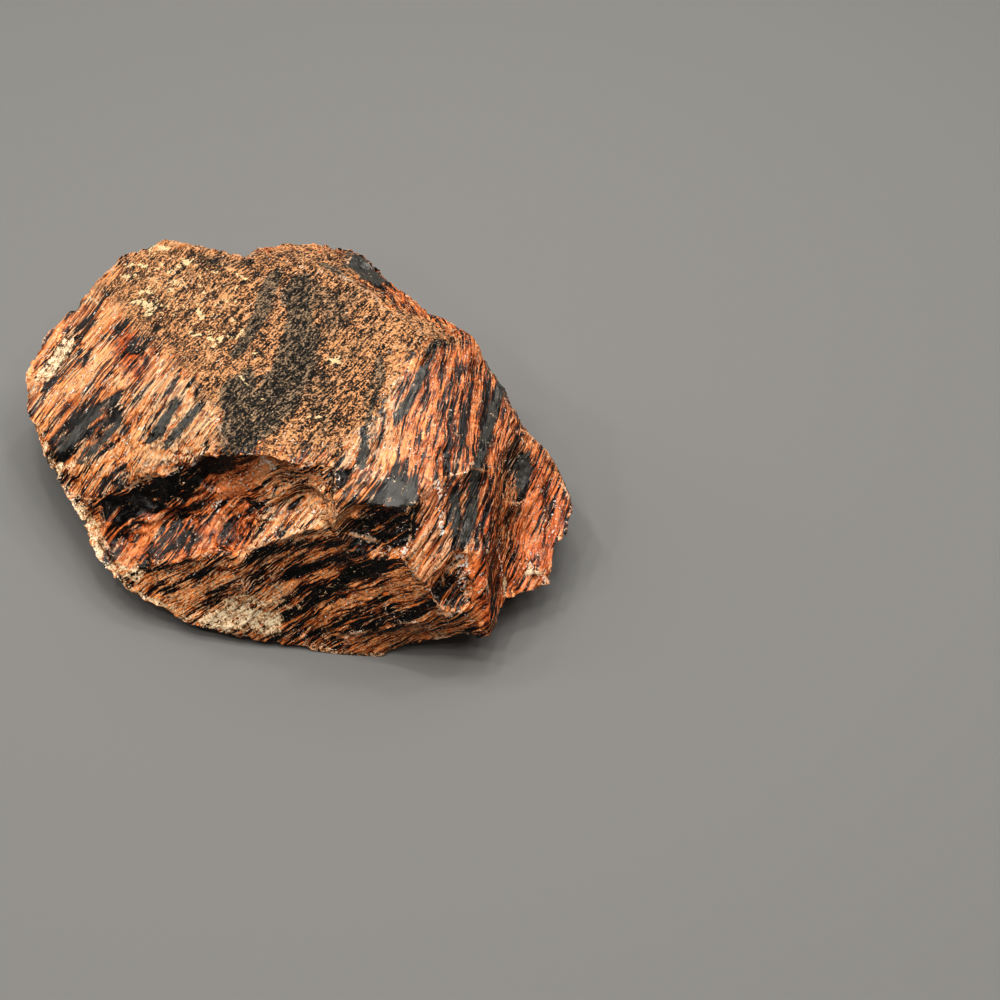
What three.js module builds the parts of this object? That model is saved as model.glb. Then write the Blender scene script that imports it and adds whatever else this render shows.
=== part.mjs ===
// A broken chunk of mahogany obsidian: black volcanic glass banded red-brown by iron.
// Millimetres, +Z up. The stone lies on a flat facet of its underside, with its long side along X,
// its weathered top tilted up to the back and its glassy fracture faces towards -Y.

import * as THREE from 'three';

// Driving dimensions, in mm.
const longestEdge = 9; // a facet is split until no triangle edge is longer
const stoneName = 'obsidian_stone';

// How the inside of a facet is drawn to a smooth skin, and then hollowed.
const smoothingPasses = 60;
const hollowingPasses = 400;
const hollowSteepness = 0.75; // under 1 the hollow starts steeply at the ridges, as a shell-like break does

// Corners, in mm, as [x, y, z], in rows along the ridges that they lie on.
const corners = {
  // The outline, from the west tip along the front to the spur, the east tip and back along the rear.
  rim: [
    [-105, 32, 30], [-101, 13, 27], [-89, -10, 22], [-80, -23, 20], [-66, -46, 15], [-53, -60, 11],
    [-45, -64, 9], [-38, -66, 7], [-31, -71, 5], [-12, -75, 3], [9, -78, 1], [23, -80, 0],
    [37, -81, 0], [44, -79, 3], [55, -80, 8], [63, -80, 11], [75, -83, 14], [78, -75, 15],
    [81, -66, 14], [87, -63, 13], [96, -59, 14], [97, -52, 17], [98, -46, 19], [103, -42, 20],
    [105, -32, 23], [101, -24, 29], [96, -16, 36], [89, -12, 42], [82, -5, 51], [75, 5, 58],
    [71, 11, 64], [68, 15, 66], [55, 24, 67], [42, 37, 67], [31, 55, 65], [23, 65, 64],
    [5, 73, 62], [-15, 70, 62], [-18, 58, 66], [-37, 67, 64], [-53, 77, 60], [-60, 77, 56],
    [-72, 77, 51], [-81, 69, 46], [-87, 61, 42], [-98, 50, 36], [-103, 40, 32],
  ],
  bevel: [[-77, 60, 47], [-87, 39, 38], [-97, 24, 31]],
  shoulder: [[-65, 44, 50], [-50, 25, 54], [-32, 2, 58], [-20, -15, 60], [-16, -32, 60]],
  brow: [
    [-66, -31, 27], [-52, -32, 35], [-36, -33, 44], [-24, -35, 52],
    [-12, -39, 59], [-4, -41, 60], [12, -44, 59], [23, -45, 60],
  ],
  chip: [[-64, -37, 22], [-62, -43, 18]],
  lip: [
    [-56, -53, 16], [-40, -56, 22], [-31, -57, 26], [-18, -58, 30], [-7, -60, 33], [1, -59, 37],
    [11, -58, 42], [23, -62, 44], [30, -64, 43], [39, -66, 42], [46, -70, 41],
  ],
  gutter: [[24, -58, 56], [25, -62, 51]],
  nick: [[30, -64, 50], [39, -64, 54], [50, -60, 55], [48, -65, 47]],
  crest: [[35, -39, 65], [39, -22, 69], [47, -12, 71]],
  spine: [[0, 52, 70], [11, 43, 73], [21, 37, 75], [36, 20, 76], [44, 10, 76], [55, 1, 75]],
  blade: [
    [59, -48, 57], [61, -64, 43], [63, -69, 40], [60, -73, 37],
    [55, -76, 33], [51, -74, 36], [54, -54, 56],
  ],
  pocket: [
    [66, -67, 39], [68, -69, 37], [67, -73, 33], [66, -76, 30],
    [64, -78, 27], [60, -79, 26], [57, -78, 29],
  ],
  heel: [[71, -80, 19], [66, -79, 24]],
  foot: [[58, -80, 21], [45, -79, 17], [30, -78, 10], [19, -77, 4]],
  spur: [[71, -66, 38], [74, -67, 36], [74, -76, 26]],
  gable: [[69, -42, 54]],
  scallop: [
    [82, -24, 45], [80, -34, 43], [78, -43, 41],
    [77, -51, 38], [80, -53, 26], [80, -61, 19],
  ],
  saddle: [[86, -36, 30]],
  ledge: [[85, -14, 47], [89, -18, 40], [93, -23, 34], [93, -30, 29], [95, -41, 22], [94, -56, 17]],
  keel: [
    [-93, 50, 24], [-73, 73, 22], [-41, 83, 18], [-6, 79, 16],
    [29, 71, 14], [61, 47, 14], [89, 17, 15], [103, -15, 16],
  ],
  // The flat facet that the stone rests on.
  base: [
    [-46, 11, 0], [-33, -35, 0], [-11, -65, 0], [57, -55, 0],
    [63, -15, 0], [47, 27, 0], [9, 43, 0], [-27, 37, 0],
  ],
};

// Every facet: the corners around it, anticlockwise seen from outside, and how deep its middle is
// hollowed below them, in mm (a negative depth swells it). "rim 3..0" runs through four corners.
const facets = [
  {
    name: 'weathered top',
    ring: 'rim 43, bevel 0, shoulder 0..4, brow 4..7, crest 0..2, spine 5..0, rim 38..42',
    hollow: -1.5,
  },
  { name: 'west scar', ring: 'rim 43..46, rim 0, bevel 2..0', hollow: 1 },
  { name: 'west face', ring: 'bevel 0..2, rim 0..3, brow 0..4, shoulder 4..0', hollow: -1.5 },
  { name: 'rear strip, west', ring: 'rim 38, spine 0..2, rim 35..37', hollow: 1 },
  { name: 'rear strip, middle', ring: 'spine 2..3, rim 33..35', hollow: 1.5 },
  { name: 'rear strip, east', ring: 'spine 3..5, rim 31..33', hollow: 0.5 },
  {
    name: 'east face',
    ring: 'spine 5, crest 2..0, brow 7, gutter 0..1, nick 0..2, blade 6, blade 0, gable 0, '
      + 'scallop 1..0, ledge 0, rim 28..31',
    hollow: -1,
  },
  { name: 'scoop', ring: 'brow 4..0, chip 0..1, lip 0..7, gutter 1..0, brow 7..5', hollow: 7 },
  { name: 'crushed corner', ring: 'brow 0, rim 3..5, lip 0, chip 1..0', hollow: 1 },
  { name: 'front face, west', ring: 'lip 4..0, rim 5..9', hollow: 1 },
  {
    name: 'front face',
    ring: 'lip 4, rim 9..10, foot 3..0, heel 1, pocket 4..6, blade 4..5, lip 10..5',
    hollow: 3,
  },
  { name: 'front foot', ring: 'rim 10..16, heel 0..1, foot 0..3', hollow: 1 },
  { name: 'black nick', ring: 'gutter 1, lip 7..10, nick 3..0', hollow: 2 },
  { name: 'blade', ring: 'blade 0, blade 6, nick 2..3, lip 10, blade 5..1', hollow: 1 },
  { name: 'dark pocket', ring: 'blade 4, pocket 6..0, blade 2..3', hollow: 1.5 },
  { name: 'spur, west side', ring: 'pocket 0..4, heel 1..0, rim 16, spur 2..0', hollow: 0.5 },
  { name: 'spur, top', ring: 'blade 0..2, pocket 0, spur 0..1, scallop 3..1, gable 0', hollow: 1 },
  { name: 'spur, east side', ring: 'spur 1..2, rim 16..18, scallop 5..3', hollow: 0.5 },
  { name: 'upper scallop', ring: 'scallop 0..2, saddle 0, ledge 3..0', hollow: 3 },
  { name: 'lower scallop', ring: 'scallop 2..5, rim 18..20, ledge 5..3, saddle 0', hollow: 3 },
  { name: 'east edge, upper', ring: 'ledge 0..2, rim 25..28', hollow: 0.5 },
  { name: 'east edge, lower', ring: 'ledge 2..5, rim 20..25', hollow: 1 },
  { name: 'underside, west', ring: 'rim 3..0, keel 0, base 0..1', hollow: 4 },
  { name: 'underside, south-west', ring: 'rim 8..3, base 1..2', hollow: 2 },
  { name: 'underside, south', ring: 'rim 11..8, base 2', hollow: 0.5 },
  { name: 'underside, spur', ring: 'rim 18..12, base 3', hollow: 2.5 },
  { name: 'underside, east', ring: 'rim 24..18, base 3..4, keel 7', hollow: 3 },
  { name: 'underside, north-east', ring: 'keel 7, base 4..5, keel 5..6', hollow: 3 },
  { name: 'underside, north', ring: 'keel 5, base 5..6, keel 3..4', hollow: 3 },
  { name: 'underside, north-west', ring: 'keel 3, base 6..7, base 0, keel 0..2', hollow: 4 },
  { name: 'resting facet', ring: 'rim 12..11, base 2..0, base 7..3', hollow: 0 },
  { name: 'rear, west tip', ring: 'rim 0, rim 46..43, keel 1..0', hollow: 1 },
  { name: 'rear, north-west', ring: 'rim 43..40, keel 2..1', hollow: 3 },
  { name: 'rear, notch', ring: 'rim 40..37, keel 3..2', hollow: 5 },
  { name: 'rear, north', ring: 'rim 37..35, keel 4..3', hollow: -2 },
  { name: 'rear, north-east', ring: 'rim 35..33, keel 5..4', hollow: 4 },
  { name: 'rear, east', ring: 'rim 33..31, keel 6..5', hollow: 5 },
  { name: 'rear, south-east', ring: 'rim 31..26, keel 7..6', hollow: 3 },
  { name: 'east tip', ring: 'rim 26..24, keel 7', hollow: 0 },
];

// The skin: points, and triangles that each know their facet.
const points = [];
const triangles = [];
const firstPoint = {};
for (const [ridge, places] of Object.entries(corners)) {
  firstPoint[ridge] = points.length;
  for (const place of places) points.push(new THREE.Vector3(...place));
}

// "rim 3..0, keel 0" as the indices of its points, in order.
function cornersAlong(ring) {
  return ring.split(', ').flatMap((stretch) => {
    const [ridge, span] = stretch.split(' ');
    const [from, to = from] = span.split('..').map(Number);
    const step = Math.sign(to - from) || 1;
    return Array.from({ length: Math.abs(to - from) + 1 }, (_, i) => firstPoint[ridge] + from + i * step);
  });
}

// A ring's facing direction, by Newell's sum over its edges.
function facing(ring) {
  const sum = new THREE.Vector3();
  ring.forEach((index, i) => {
    const next = ring[(i + 1) % ring.length];
    sum.add(new THREE.Vector3().crossVectors(points[index], points[next]));
  });
  return sum.normalize();
}

// Fills a facet with triangles between its corners, drawn in the facet's own plane.
function fillFacet(facet) {
  const ring = cornersAlong(facet.ring);
  facet.normal = facing(ring);
  const turn = new THREE.Quaternion().setFromUnitVectors(facet.normal, new THREE.Vector3(0, 0, 1));
  const drawn = ring.map((index) => {
    const place = points[index].clone().applyQuaternion(turn);
    return new THREE.Vector2(place.x, place.y);
  });
  for (const [a, b, c] of THREE.ShapeUtils.triangulateShape(drawn, [])) {
    triangles.push({ facet, ends: [ring[a], ring[b], ring[c]] });
  }
}

const edgeKey = (a, b) => (a < b ? `${a} ${b}` : `${b} ${a}`);
const edgeLength = (a, b) => points[a].distanceTo(points[b]);

// The edges between two facets. The two share their points, while inner edges belong to one facet.
const ridgeEdges = new Set();
const onRidge = new Set();

function markRidges(facet) {
  const ring = cornersAlong(facet.ring);
  ring.forEach((index, i) => {
    ridgeEdges.add(edgeKey(index, ring[(i + 1) % ring.length]));
    onRidge.add(index);
  });
}

// The longest side of a triangle that passes a test, as the number of the corner it starts from.
function longestSide({ ends }, test) {
  const lengths = ends.map((end, i) => {
    const next = ends[(i + 1) % 3];
    return test(end, next) ? edgeLength(end, next) : 0;
  });
  const most = Math.max(...lengths);
  return most > 0 ? lengths.indexOf(most) : null;
}

// Halves, pass by pass, each edge that both its triangles choose, until no triangle chooses any.
function splitEdges(choose) {
  let claims;
  do {
    claims = new Map();
    triangles.forEach((triangle, number) => {
      const side = choose(triangle);
      if (side === null) return;
      const edge = edgeKey(triangle.ends[side], triangle.ends[(side + 1) % 3]);
      const key = ridgeEdges.has(edge) ? edge : `${edge} ${triangle.facet.name}`;
      claims.set(key, [...(claims.get(key) ?? []), { number, side, edge }]);
    });
    for (const pair of claims.values()) {
      if (pair.length === 2) halve(pair);
    }
  } while (claims.size > 0);
}

// Puts a point in the middle of an edge and makes two triangles of each one beside it.
function halve(pair) {
  const middle = points.length;
  const [a, b] = pair[0].edge.split(' ').map(Number);
  points.push(points[a].clone().lerp(points[b], 0.5));
  if (ridgeEdges.delete(pair[0].edge)) {
    ridgeEdges.add(edgeKey(a, middle)).add(edgeKey(middle, b));
    onRidge.add(middle);
  }
  for (const { number, side } of pair) {
    const { facet, ends } = triangles[number];
    const [from, to, across] = [ends[side], ends[(side + 1) % 3], ends[(side + 2) % 3]];
    triangles[number] = { facet, ends: [from, middle, across] };
    triangles.push({ facet, ends: [middle, to, across] });
  }
}

// An inner edge that joins two ridge points would hold the skin flat there, so each is halved first.
function chordSide(triangle) {
  return longestSide(triangle, (a, b) => onRidge.has(a) && onRidge.has(b) && !ridgeEdges.has(edgeKey(a, b)));
}

function overlongSide(triangle) {
  const side = longestSide(triangle, () => true);
  return edgeLength(triangle.ends[side], triangle.ends[(side + 1) % 3]) > longestEdge ? side : null;
}

// The points inside each facet, with the points that they are joined to.
function insidePoints() {
  const found = new Map();
  for (const { facet, ends } of triangles) {
    ends.forEach((index, i) => {
      if (onRidge.has(index)) return;
      const point = found.get(index) ?? { index, facet, joined: new Set() };
      point.joined.add(ends[(i + 1) % 3]).add(ends[(i + 2) % 3]);
      found.set(index, point);
    });
  }
  return [...found.values()].map((point) => ({ ...point, joined: [...point.joined] }));
}

// Draws each inside point to the middle of its neighbours, so that the facet is a smooth skin.
function smoothFacets(inside) {
  for (let pass = 0; pass < smoothingPasses; pass += 1) {
    for (const { index, joined } of inside) {
      points[index].set(0, 0, 0);
      for (const other of joined) points[index].addScaledVector(points[other], 1 / joined.length);
    }
  }
}

// Sinks each facet's inside points below its ridges, deepest in the middle.
function hollowFacets(inside) {
  const depth = points.map(() => 0);
  for (let pass = 0; pass < hollowingPasses; pass += 1) {
    for (const { index, joined } of inside) {
      depth[index] = 1 + joined.reduce((sum, other) => sum + depth[other], 0) / joined.length;
    }
  }
  for (const { index, facet } of inside) facet.deepest = Math.max(facet.deepest ?? 0, depth[index]);
  for (const { index, facet } of inside) {
    const sunk = facet.hollow * (depth[index] / facet.deepest) ** hollowSteepness;
    points[index].addScaledVector(facet.normal, -sunk);
  }
}

facets.forEach(fillFacet);
facets.forEach(markRidges);
splitEdges(chordSide);
splitEdges(overlongSide);
const inside = insidePoints();
smoothFacets(inside);
hollowFacets(inside);

const geometry = new THREE.BufferGeometry().setFromPoints(points);
geometry.setIndex(triangles.flatMap(({ ends }) => ends));

// The origin is on the floor, below the middle of the stone's box.
geometry.computeBoundingBox();
const middle = geometry.boundingBox.getCenter(new THREE.Vector3());
geometry.translate(-middle.x, -middle.y, -geometry.boundingBox.min.z);
geometry.computeVertexNormals();

const glass = new THREE.MeshStandardMaterial({ color: '#7a3f24', roughness: 0.3, metalness: 0 });
const stone = new THREE.Mesh(geometry, glass);
stone.name = stoneName;

const group = new THREE.Group();
group.add(stone);

export default group;
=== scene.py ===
# Mahogany obsidian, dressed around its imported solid: a chipped, banded skin on the CAD stone.
import math
import random
import time

import bmesh
import bpy
import numpy as np
from mathutils import Matrix, Vector, kdtree, noise
from mathutils.bvhtree import BVHTree


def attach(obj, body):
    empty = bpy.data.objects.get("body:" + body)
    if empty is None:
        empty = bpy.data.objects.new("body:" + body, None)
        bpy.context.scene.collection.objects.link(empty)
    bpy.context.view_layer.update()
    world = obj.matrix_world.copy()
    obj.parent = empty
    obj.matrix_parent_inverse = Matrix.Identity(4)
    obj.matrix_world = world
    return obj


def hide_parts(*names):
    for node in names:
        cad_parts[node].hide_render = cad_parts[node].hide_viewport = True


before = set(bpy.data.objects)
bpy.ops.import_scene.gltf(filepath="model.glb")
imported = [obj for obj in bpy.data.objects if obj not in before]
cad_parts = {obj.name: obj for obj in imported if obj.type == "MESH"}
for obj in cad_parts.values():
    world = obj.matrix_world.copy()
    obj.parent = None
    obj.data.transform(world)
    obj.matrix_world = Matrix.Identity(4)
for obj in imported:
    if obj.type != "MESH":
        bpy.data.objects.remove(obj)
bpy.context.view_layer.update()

mm = 0.001
started = time.time()


def report(stage):
    print(f"{stage}: {time.time() - started:.1f} s")


# Camera: the photograph looks down on the stone, which lies left of the middle.
view = {
    "elevation": 48.0,      # degrees above the floor
    "distance": 534 * mm,   # from the floor point in the middle of the picture
    "lens": 50.0,           # mm
    "sensor": 36.0,         # mm wide
    "nearest": 10 * mm,     # anything closer to the camera isn't drawn
    "pictureSize": 1000,    # pixels each way
    "aim": Vector((78.7, -7.3, 0)) * mm,    # that floor point
}


def makeCamera():
    tilt = math.radians(view["elevation"])
    view["ahead"] = Vector((0, math.cos(tilt), -math.sin(tilt)))
    view["up"] = Vector((0, math.sin(tilt), math.cos(tilt)))
    view["place"] = view["aim"] - view["ahead"] * view["distance"]
    view["focal"] = view["lens"] / view["sensor"] * view["pictureSize"]
    data = bpy.data.cameras.new("camera")
    data.lens = view["lens"]
    data.sensor_width = view["sensor"]
    data.clip_start = view["nearest"]
    camera = bpy.data.objects.new("camera", data)
    bpy.context.scene.collection.objects.link(camera)
    camera.location = view["place"]
    camera.rotation_euler = (math.pi / 2 - tilt, 0, 0)
    bpy.context.scene.camera = camera


def rayThrough(px, py):
    # the direction in which the camera sees a pixel of the photograph
    half = view["pictureSize"] / 2
    side = Vector(((px - half) / view["focal"], 0, 0))
    return (view["ahead"] + side + view["up"] * ((half - py) / view["focal"])).normalized()


def pixelsOf(points):
    # where the camera sees points of an n x 3 array, in pixels of the photograph
    fromCamera = points - np.array(view["place"])
    depth = fromCamera @ np.array(view["ahead"])
    half = view["pictureSize"] / 2
    px = half + view["focal"] * fromCamera[:, 0] / depth
    py = half - view["focal"] * (fromCamera @ np.array(view["up"])) / depth
    return px, py


makeCamera()


# Floor and light
studio = {
    "floorSize": 6.0,
    "floorColour": (0.185, 0.186, 0.185, 1),
    "floorRoughness": 0.75,
    "worldColour": (0.87, 0.86, 0.83, 1),
    "worldStrength": 0.10,
    "lamps": [
        # name, place in metres, size in metres, power in watts, colour
        ("overhead", (0.25, 0.45, 1.15), 1.50, 10.5, (1.0, 0.98, 0.95)),
        ("leftPanel", (-1.05, 0.35, 0.85), 0.60, 3.0, (1.0, 0.97, 0.93)),
    ],
    # small downlights that make the glass glint: azimuth and elevation in degrees, power in watts
    "downlights": [
        (-160, 52, 1.2), (-128, 66, 1.3), (-100, 44, 0.7), (-70, 62, 1.0), (-38, 50, 0.9), (-8, 64, 1.0),
        (24, 48, 0.9), (62, 58, 1.1), (100, 70, 1.3), (138, 54, 1.2), (172, 68, 1.3), (-20, 82, 1.0),
    ],
    "downlightSize": 0.06,
    "downlightDistance": 1.25,
    "downlightColour": (1.0, 0.96, 0.9),
    "look": "High Contrast",
}


def makeStudio():
    bm = bmesh.new()
    bmesh.ops.create_grid(bm, x_segments=1, y_segments=1, size=studio["floorSize"] / 2)
    mesh = bpy.data.meshes.new("floor")
    bm.to_mesh(mesh)
    bm.free()
    floor = bpy.data.objects.new("floor", mesh)
    bpy.context.scene.collection.objects.link(floor)
    material = bpy.data.materials.new("floorPaint")
    material.use_nodes = True
    shader = material.node_tree.nodes["Principled BSDF"]
    shader.inputs["Base Color"].default_value = studio["floorColour"]
    shader.inputs["Roughness"].default_value = studio["floorRoughness"]
    mesh.materials.append(material)

    world = bpy.data.worlds.new("room")
    world.use_nodes = True
    sky = world.node_tree.nodes["Background"]
    sky.inputs["Color"].default_value = studio["worldColour"]
    sky.inputs["Strength"].default_value = studio["worldStrength"]
    bpy.context.scene.world = world
    lamps = list(studio["lamps"])
    for index, (azimuth, elevation, power) in enumerate(studio["downlights"]):
        around, above = math.radians(azimuth), math.radians(elevation)
        level = math.cos(above)
        place = Vector((math.cos(around) * level, math.sin(around) * level, math.sin(above)))
        place *= studio["downlightDistance"]
        size, colour = studio["downlightSize"], studio["downlightColour"]
        lamps.append((f"downlight{index}", place, size, power, colour))
    for name, place, size, power, colour in lamps:
        lamp = bpy.data.lights.new(name, "AREA")
        lamp.size = size
        lamp.energy = power
        lamp.color = colour
        holder = bpy.data.objects.new(name, lamp)
        bpy.context.scene.collection.objects.link(holder)
        holder.location = place
        holder.rotation_euler = (-Vector(place)).to_track_quat("-Z", "Y").to_euler()
    bpy.context.scene.view_settings.view_transform = "Standard"
    bpy.context.scene.view_settings.look = studio["look"]


makeStudio()
report("camera, floor and lights")


# The stone's skin: the CAD solid, cut into fine triangles and drawn smooth between its ridges.
skin = {
    "ridgeAngle": 17.0,        # degrees: a sharper edge stays a ridge
    "seenEdge": 1.08 * mm,     # longest triangle edge where the stone is seen
    "hiddenEdge": 2.4 * mm,    # and on the back and underside
    "seenFrom": -0.05,         # a face turned to the camera by more than this is cut finely
    "mergeDistance": 0.001 * mm,
    "smoothing": [6, 5, 4, 3],    # passes after each round of cutting
    "smoothFactor": 0.5,
    "ridgeMark": 0.999,        # a corner marked 1 lies on a ridge
    "chipAngle": 22,           # degrees: flakes are struck off outward ridges sharper than this
    "shadeAngle": 38,          # degrees: a sharper edge isn't shaded smooth
}


def longestAllowed(edge):
    turned = max(-face.normal.dot(view["ahead"]) for face in edge.link_faces)
    return skin["seenEdge"] if turned > skin["seenFrom"] else skin["hiddenEdge"]


def dropFolded(bm):
    # a sliver that is cut in two can fold flat, which leaves two faces on the same corners: both go
    faces = {}
    for face in bm.faces:
        faces.setdefault(frozenset(vert.index for vert in face.verts), []).append(face)
    folded = [face for pair in faces.values() if len(pair) > 1 for face in pair]
    bmesh.ops.delete(bm, geom=folded, context="FACES")
    print("folded faces dropped", len(folded))


def makeSkin():
    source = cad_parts["obsidian_stone"]
    bm = bmesh.new()
    bm.from_mesh(source.data)
    bmesh.ops.remove_doubles(bm, verts=bm.verts, dist=skin["mergeDistance"])
    ridge = bm.verts.layers.float.new("ridge")
    sharpest = math.radians(skin["ridgeAngle"])
    for edge in bm.edges:
        if edge.calc_face_angle(0) > sharpest:
            for vert in edge.verts:
                vert[ridge] = 1
    for level, passes in enumerate(skin["smoothing"]):
        bm.normal_update()
        overlong = [edge for edge in bm.edges if edge.calc_length() > longestAllowed(edge)]
        bmesh.ops.subdivide_edges(bm, edges=overlong, cuts=1)
        bmesh.ops.triangulate(bm, faces=bm.faces)
        free = [vert for vert in bm.verts if vert[ridge] < skin["ridgeMark"]]
        for _ in range(passes):
            bmesh.ops.smooth_vert(bm, verts=free, factor=skin["smoothFactor"],
                                  use_axis_x=True, use_axis_y=True, use_axis_z=True)
        print("level", level, "triangles", len(bm.faces))
    bm.verts.index_update()
    dropFolded(bm)
    return bm


skinMesh = makeSkin()
surface = BVHTree.FromBMesh(skinMesh)
report("skin cut and smoothed")


def onStone(px, py):
    # the place on the stone that the camera sees at a pixel of the photograph, or None
    return surface.ray_cast(view["place"], rayThrough(px, py))[0]


# The glass flowed before it set. Its sheets of black and mahogany lie square to "across",
# and their streaks run along "lineation".
flow = {
    "lineation": Vector((0.597, 0.656, 0.462)),
    "across": Vector((0.543, 0.093, -0.834)),
}
flow["across"].normalize()
flow["sideways"] = flow["across"].cross(flow["lineation"]).normalized()
flow["lineation"] = flow["sideways"].cross(flow["across"])
flow["turn"] = Matrix((flow["lineation"], flow["sideways"], flow["across"]))
flow["stretch"] = (0.5, 1.0, 1.0)    # strokes fade twice as slowly along the lineation


grainStyle = {
    "shift": 7.31,      # how far apart the seeds lie in the noise
    "falloff": 0.9,     # how fast the finer octaves weaken
    "growth": 2.0,      # how much finer each octave is
}


def grain(places, size, seed, octaves=1):
    # smooth noise from -1 to 1 at every place, for features of the given size in mm along each axis
    scaled = places / (np.array(size) * mm) + seed * grainStyle["shift"]
    if octaves == 1:
        return np.array([noise.noise(place) for place in scaled])
    falloff, growth = grainStyle["falloff"], grainStyle["growth"]
    return np.array([noise.fractal(place, falloff, growth, octaves) for place in scaled])


def away(places, targets):
    # each place's distance to the nearest target, in metres
    tree = kdtree.KDTree(len(targets))
    for index, target in enumerate(targets):
        tree.insert(target, index)
    tree.balance()
    return np.array([tree.find(place)[2] for place in places])


def fade(distance, reach, soft):
    # 1 well inside the reach, 0 well outside it
    return np.clip((reach - distance) / soft + 0.5, 0, 1)


def rise(value, low, width):
    # 0 below "low", 1 past it by "width", straight between
    return np.clip((value - low) / width, 0, 1)


pixelSize = 0.385 * mm      # on the stone, near enough
stroke = {
    "spacing": 2,           # pixels between the spots that a stroke is made of
    "softest": 1.2 * mm,    # its border is at least this soft
}


def strokeOn(places, path, width, softness, stretch):
    # how strongly a brush stroke, given as pixels of the photograph, covers every place
    spots = []
    for (x0, y0), (x1, y1) in zip(path, path[1:]):
        count = max(2, int(math.hypot(x1 - x0, y1 - y0) / stroke["spacing"]))
        for step in range(count + 1):
            spot = onStone(x0 + (x1 - x0) * step / count, y0 + (y1 - y0) * step / count)
            if spot:
                spots.append(spot)
    cover = np.zeros(len(places))
    if not spots:
        return cover
    reach = width / 2 * pixelSize
    soft = max(stroke["softest"], reach * softness)
    spots = np.array(spots)
    margin = (reach + soft) / min(stretch)
    near = np.all((places > spots.min(0) - margin) & (places < spots.max(0) + margin), axis=1)
    if near.any():
        gaps = (places[near][:, None, :] - spots[None, :, :]) @ np.array(flow["turn"]).T * stretch
        cover[near] = fade(np.sqrt((gaps ** 2).sum(2)).min(1), reach, soft)
    return cover


def insideOutline(places, outline, soft):
    # how far inside a pixel outline every place is seen, with a border of "soft" pixels
    px, py = pixelsOf(places)
    inside = np.zeros(len(places), bool)
    gap = np.full(len(places), np.inf)
    for (x0, y0), (x1, y1) in zip(outline, outline[1:] + outline[:1]):
        crosses = (y0 > py) != (y1 > py)
        height = (y1 - y0) or 1    # a level side is never crossed
        inside ^= crosses & (px < (x1 - x0) * (py - y0) / height + x0)
        length = (x1 - x0) ** 2 + (y1 - y0) ** 2
        along = np.clip(((px - x0) * (x1 - x0) + (py - y0) * (y1 - y0)) / length, 0, 1)
        gap = np.minimum(gap, np.hypot(px - x0 - along * (x1 - x0), py - y0 - along * (y1 - y0)))
    return np.clip(np.where(inside, gap, -gap) / soft + 0.5, 0, 1)


# The weathered skin covers the tilted top, apart from a bare strip along its back, and the facet
# that the stone lies on.
weathered = {
    "top": [(128, 262), (150, 245), (168, 238), (240, 255), (300, 240), (372, 255), (440, 308), (462, 330),
            (440, 340), (418, 352), (400, 372), (384, 398), (372, 420), (352, 440), (310, 452), (262, 452),
            (224, 446), (219, 400), (196, 372), (160, 345), (128, 318), (104, 292)],
    "topSoftness": 44,           # pixels
    "topSlope": (0.45, 0.2),     # how level a face has to be: where it starts, and over how much
    "flaked": [(120, 262), (168, 240), (250, 256), (262, 300), (246, 352), (190, 350), (130, 318)],
    "flakedSoftness": 40,
    "flakedSlope": (0.5, 0.2),
    "bareBack": [(345, 258), (362, 250), (392, 278), (440, 302), (474, 312), (476, 332), (440, 324),
                 (404, 308), (372, 292), (352, 276)],
    "bareSoftness": 16,
    "waveSize": 9,               # mm: the outlines wander in waves of this size
    "waveReach": 4.0 * mm,
    "waveSeed": 71,
    "restHeight": 1.5,           # mm: what lies lower is the facet below
}


def weatheredSkin(places, normals):
    size, seed = (weathered["waveSize"],) * 3, weathered["waveSeed"]
    waves = [grain(places, size, seed + axis, octaves=2) for axis in range(3)]
    wavy = places + weathered["waveReach"] * np.array(waves).T
    cover = insideOutline(wavy, weathered["top"], weathered["topSoftness"])
    cover *= rise(normals[:, 2], *weathered["topSlope"])
    cover *= 1 - insideOutline(wavy, weathered["bareBack"], weathered["bareSoftness"])
    return np.maximum(cover, np.clip(weathered["restHeight"] - places[:, 2] / mm, 0, 1))


# The relief: bent ridges, plates along the streaks, ripples of the break, pits of the weathered top.
relief = {
    "bend": [(26.0, 0.9), (9.0, 0.55), (3.5, 0.25)],   # size and amount in mm
    "plates": [((36, 3.4, 1.8), 0.34), ((18, 1.6, 0.9), 0.20)],
    "platesWorn": 0.75,                                # share of them that weathering takes away
    "pits": [(1.5, 0.468), (3.4, 0.612)],
    "ripples": [
        # origin on the stone in pixels, reach in pixels, spacing and height in mm
        ((150, 500), 95, 4.2, 0.13),
        ((262, 468), 90, 3.4, 0.22),
        ((360, 560), 120, 6.0, 0.14),
        ((512, 500), 60, 2.6, 0.18),
    ],
    "rippleFade": 0.5,       # how evenly the ripples fade towards their reach
    "rippleCrowding": 90,    # mm: at half this distance from their origin they lie twice as close
    "wobble": (22, 2.8),     # size in mm and amount of the bends in the ripples
    "crushDepth": 0.75,      # mm, of the chips along the ridges
    "crushReach": 1.9,
    "chipSize": 2.6,
    "chipShare": 0.35,
    "groundClear": (0.3 * mm, 6 * mm),   # the height where relief starts, and over how much it grows
    "seeds": {"bend": 11, "plates": 31, "pits": 41, "wobble": 51, "chips": 61},
}


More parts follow.
